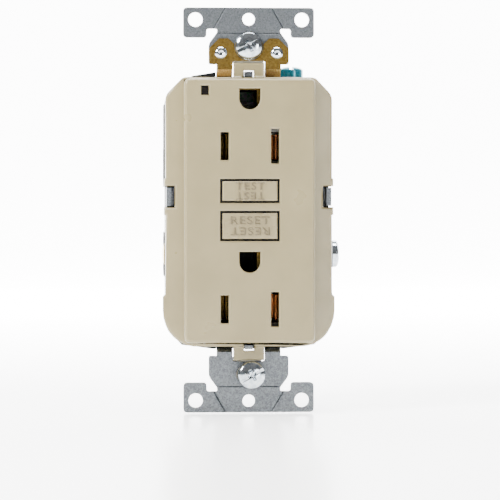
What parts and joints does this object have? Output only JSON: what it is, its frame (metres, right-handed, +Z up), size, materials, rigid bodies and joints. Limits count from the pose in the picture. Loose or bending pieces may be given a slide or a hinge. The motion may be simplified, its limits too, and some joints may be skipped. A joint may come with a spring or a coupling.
{
  "type": "ground-fault duplex outlet",
  "caption": "Ivory ground-fault duplex wall outlet with test and reset buttons on a metal mounting strap, with side terminal screws and a black rear housing.",
  "frame": {"origin": "centre of the mounting strap's rear face, which bears on the wall box", "axes": "+Z up along the long side as on a wall, +X to the right seen from the front, +Y into the wall; the face looks along -Y"},
  "size_m": [0.046, 0.0337, 0.1028],
  "materials": {
    "amber_film": "gloss",
    "black_plastic": "satin",
    "brass_sheet": "dull rolled brass",
    "clear_resin": "gloss",
    "copper_alloy": "dull",
    "dark_lens": "gloss",
    "enamelled_wire": "varnished",
    "fibre": "plain",
    "galvanised_steel": "satin zinc",
    "green_coated_steel": "blue-green dyed plate",
    "green_laminate": "satin",
    "ivory_plastic": "fine moulded grain",
    "orange_ceramic": "satin",
    "plated_steel": "bright zinc plate",
    "tan_ceramic": "satin",
    "white_plastic": "satin"
  },
  "bodies": {
    "outlet_body": {"front_cover": "ivory_plastic", "led_lens": "dark_lens", "mounting_strap": "galvanised_steel", "ground_bridge": "brass_sheet", "bridge_rivet_left": "plated_steel", "bridge_rivet_right": "plated_steel", "upper_left_terminal_plate": "brass_sheet", "upper_right_terminal_plate": "plated_steel", "lower_left_terminal_plate": "brass_sheet", "lower_right_terminal_plate": "plated_steel", "rear_housing": "black_plastic", "upper_left_case_screw": "plated_steel", "upper_right_case_screw": "plated_steel", "lower_left_case_screw": "plated_steel", "lower_right_case_screw": "plated_steel", "contact_carrier": "white_plastic", "hot_face_contact": "brass_sheet", "neutral_face_contact": "copper_alloy", "upper_ground_contact": "brass_sheet", "lower_ground_contact": "brass_sheet", "reset_spring": "plated_steel", "test_spring": "plated_steel", "plunger_spring": "plated_steel", "solenoid_bobbin": "white_plastic", "solenoid_winding": "enamelled_wire", "solenoid_frame": "galvanised_steel", "circuit_board": "green_laminate", "led": "clear_resin", "line_bar_hot": "copper_alloy", "line_bar_neutral": "copper_alloy", "sense_coil": "enamelled_wire", "ground_neutral_coil": "enamelled_wire", "coil_housing": "black_plastic", "test_resistor": "tan_ceramic", "control_chip": "black_plastic", "surge_suppressor": "orange_ceramic", "capacitor": "amber_film"},
    "top_retainer": {"screw_retainer_top": "fibre"},
    "top_mounting_screw": {"mounting_screw_top": "plated_steel"},
    "bottom_retainer": {"screw_retainer_bottom": "fibre"},
    "bottom_mounting_screw": {"mounting_screw_bottom": "plated_steel"},
    "ground_clamp": {"ground_clamp": "plated_steel"},
    "ground_screw": {"ground_screw": "green_coated_steel"},
    "upper_left_clamp": {"upper_left_clamp_plate": "brass_sheet"},
    "upper_left_screw": {"upper_left_terminal_screw": "brass_sheet"},
    "upper_right_clamp": {"upper_right_clamp_plate": "plated_steel"},
    "upper_right_screw": {"upper_right_terminal_screw": "plated_steel"},
    "lower_left_clamp": {"lower_left_clamp_plate": "brass_sheet"},
    "lower_left_screw": {"lower_left_terminal_screw": "brass_sheet"},
    "lower_right_clamp": {"lower_right_clamp_plate": "plated_steel"},
    "lower_right_screw": {"lower_right_terminal_screw": "plated_steel"},
    "test_button": {"test_button": "ivory_plastic"},
    "test_leaf": {"test_leaf": "copper_alloy"},
    "reset_button": {"reset_button": "ivory_plastic", "reset_shaft": "plated_steel"},
    "plunger": {"solenoid_plunger": "plated_steel"},
    "lifter": {"contact_lifter": "white_plastic"},
    "latch": {"latch_slide": "galvanised_steel"},
    "hot_arm": {"contact_arm_hot": "copper_alloy"},
    "neutral_arm": {"contact_arm_neutral": "copper_alloy"}
  },
  "joints": [
    {"name": "top_screw_slide", "type": "slide", "parent": "outlet_body", "child": "top_retainer", "axis": [0, -1, 0], "range_m": [0, 0.0034]},
    {"name": "top_screw_turn", "type": "hinge", "parent": "top_retainer", "child": "top_mounting_screw", "pos_m": [0, 0, 0.04167], "axis": [0, 1, 0], "continuous": true},
    {"name": "bottom_screw_slide", "type": "slide", "parent": "outlet_body", "child": "bottom_retainer", "axis": [0.1392, -0.9903, 0], "range_m": [-0.0019, 0.0024]},
    {"name": "bottom_screw_turn", "type": "hinge", "parent": "bottom_retainer", "child": "bottom_mounting_screw", "pos_m": [0, 0, -0.04167], "axis": [-0.1392, 0.9903, 0], "continuous": true},
    {"name": "ground_clamp_slide", "type": "slide", "parent": "outlet_body", "child": "ground_clamp", "axis": [0, 0, -1], "range_m": [-0.00159, 0.0004]},
    {"name": "ground_screw_turn", "type": "hinge", "parent": "ground_clamp", "child": "ground_screw", "pos_m": [0.0112, 0.0064, 0.034], "axis": [0, 0, -1], "range_deg": [-720, 180]},
    {"name": "upper_left_clamp_slide", "type": "slide", "parent": "outlet_body", "child": "upper_left_clamp", "axis": [1, 0, 0], "range_m": [-0.00238, 0]},
    {"name": "upper_left_screw_turn", "type": "hinge", "parent": "upper_left_clamp", "child": "upper_left_screw", "pos_m": [-0.018, 0.0098, 0.0113], "axis": [1, 0, 0], "range_deg": [-1080, 0]},
    {"name": "upper_right_clamp_slide", "type": "slide", "parent": "outlet_body", "child": "upper_right_clamp", "axis": [-1, 0, 0], "range_m": [-0.00238, 0]},
    {"name": "upper_right_screw_turn", "type": "hinge", "parent": "upper_right_clamp", "child": "upper_right_screw", "pos_m": [0.018, 0.0098, 0.0113], "axis": [-1, 0, 0], "range_deg": [-1080, 0]},
    {"name": "lower_left_clamp_slide", "type": "slide", "parent": "outlet_body", "child": "lower_left_clamp", "axis": [1, 0, 0], "range_m": [0, 0.00139]},
    {"name": "lower_left_screw_turn", "type": "hinge", "parent": "lower_left_clamp", "child": "lower_left_screw", "pos_m": [-0.018, 0.0098, -0.0113], "axis": [1, 0, 0], "range_deg": [0, 630]},
    {"name": "lower_right_clamp_slide", "type": "slide", "parent": "outlet_body", "child": "lower_right_clamp", "axis": [-1, 0, 0], "range_m": [0, 0.00397]},
    {"name": "lower_right_screw_turn", "type": "hinge", "parent": "lower_right_clamp", "child": "lower_right_screw", "pos_m": [0.018, 0.0098, -0.0113], "axis": [-1, 0, 0], "range_deg": [0, 1800]},
    {"name": "test_press", "type": "slide", "parent": "outlet_body", "child": "test_button", "axis": [0, 1, 0], "range_m": [0, 0.0012], "stiffness_N_per_m": 300, "springref_m": -0.001, "deforming": ["test_spring"]},
    {"name": "test_leaf_bend", "type": "hinge", "parent": "outlet_body", "child": "test_leaf", "pos_m": [-0.0094, 0.0093, 0.0049], "axis": [0, 0, 1], "range_deg": [0, 7.4]},
    {"name": "reset_press", "type": "slide", "parent": "outlet_body", "child": "reset_button", "axis": [0, 1, 0], "range_m": [0, 0.0015], "stiffness_N_per_m": 400, "springref_m": -0.001, "deforming": ["reset_spring"]},
    {"name": "plunger_pull", "type": "slide", "parent": "outlet_body", "child": "plunger", "axis": [0, 0, 1], "range_m": [0, 0.0014], "stiffness_N_per_m": 200, "springref_m": -0.001, "deforming": ["plunger_spring"]},
    {"name": "lifter_drop", "type": "slide", "parent": "outlet_body", "child": "lifter", "axis": [0, 1, 0], "range_m": [0, 0.0015]},
    {"name": "latch_pull", "type": "slide", "parent": "lifter", "child": "latch", "axis": [0, 0, 1], "range_m": [0, 0.0014]},
    {"name": "hot_arm_open", "type": "hinge", "parent": "outlet_body", "child": "hot_arm", "pos_m": [-0.011, 0.014, -0.0178], "axis": [-1, 0, 0], "range_deg": [0, 5.6]},
    {"name": "neutral_arm_open", "type": "hinge", "parent": "outlet_body", "child": "neutral_arm", "pos_m": [0.011, 0.014, -0.0178], "axis": [-1, 0, 0], "range_deg": [0, 5.6]}
  ],
  "couplings": [
    {"joint": "ground_screw_turn", "follows": "ground_clamp_slide", "rad_per_m": 7913.3},
    {"joint": "upper_left_screw_turn", "follows": "upper_left_clamp_slide", "rad_per_m": 7913.3},
    {"joint": "upper_right_screw_turn", "follows": "upper_right_clamp_slide", "rad_per_m": 7913.3},
    {"joint": "lower_left_screw_turn", "follows": "lower_left_clamp_slide", "rad_per_m": 7913.3},
    {"joint": "lower_right_screw_turn", "follows": "lower_right_clamp_slide", "rad_per_m": 7913.3},
    {"joint": "test_leaf_bend", "follows": "test_press", "rad_per_m": 106.4},
    {"joint": "lifter_drop", "follows": "plunger_pull", "ratio": 1.07},
    {"joint": "latch_pull", "follows": "plunger_pull", "ratio": 1},
    {"joint": "hot_arm_open", "follows": "plunger_pull", "rad_per_m": 69.6},
    {"joint": "neutral_arm_open", "follows": "plunger_pull", "rad_per_m": 69.6}
  ]
}
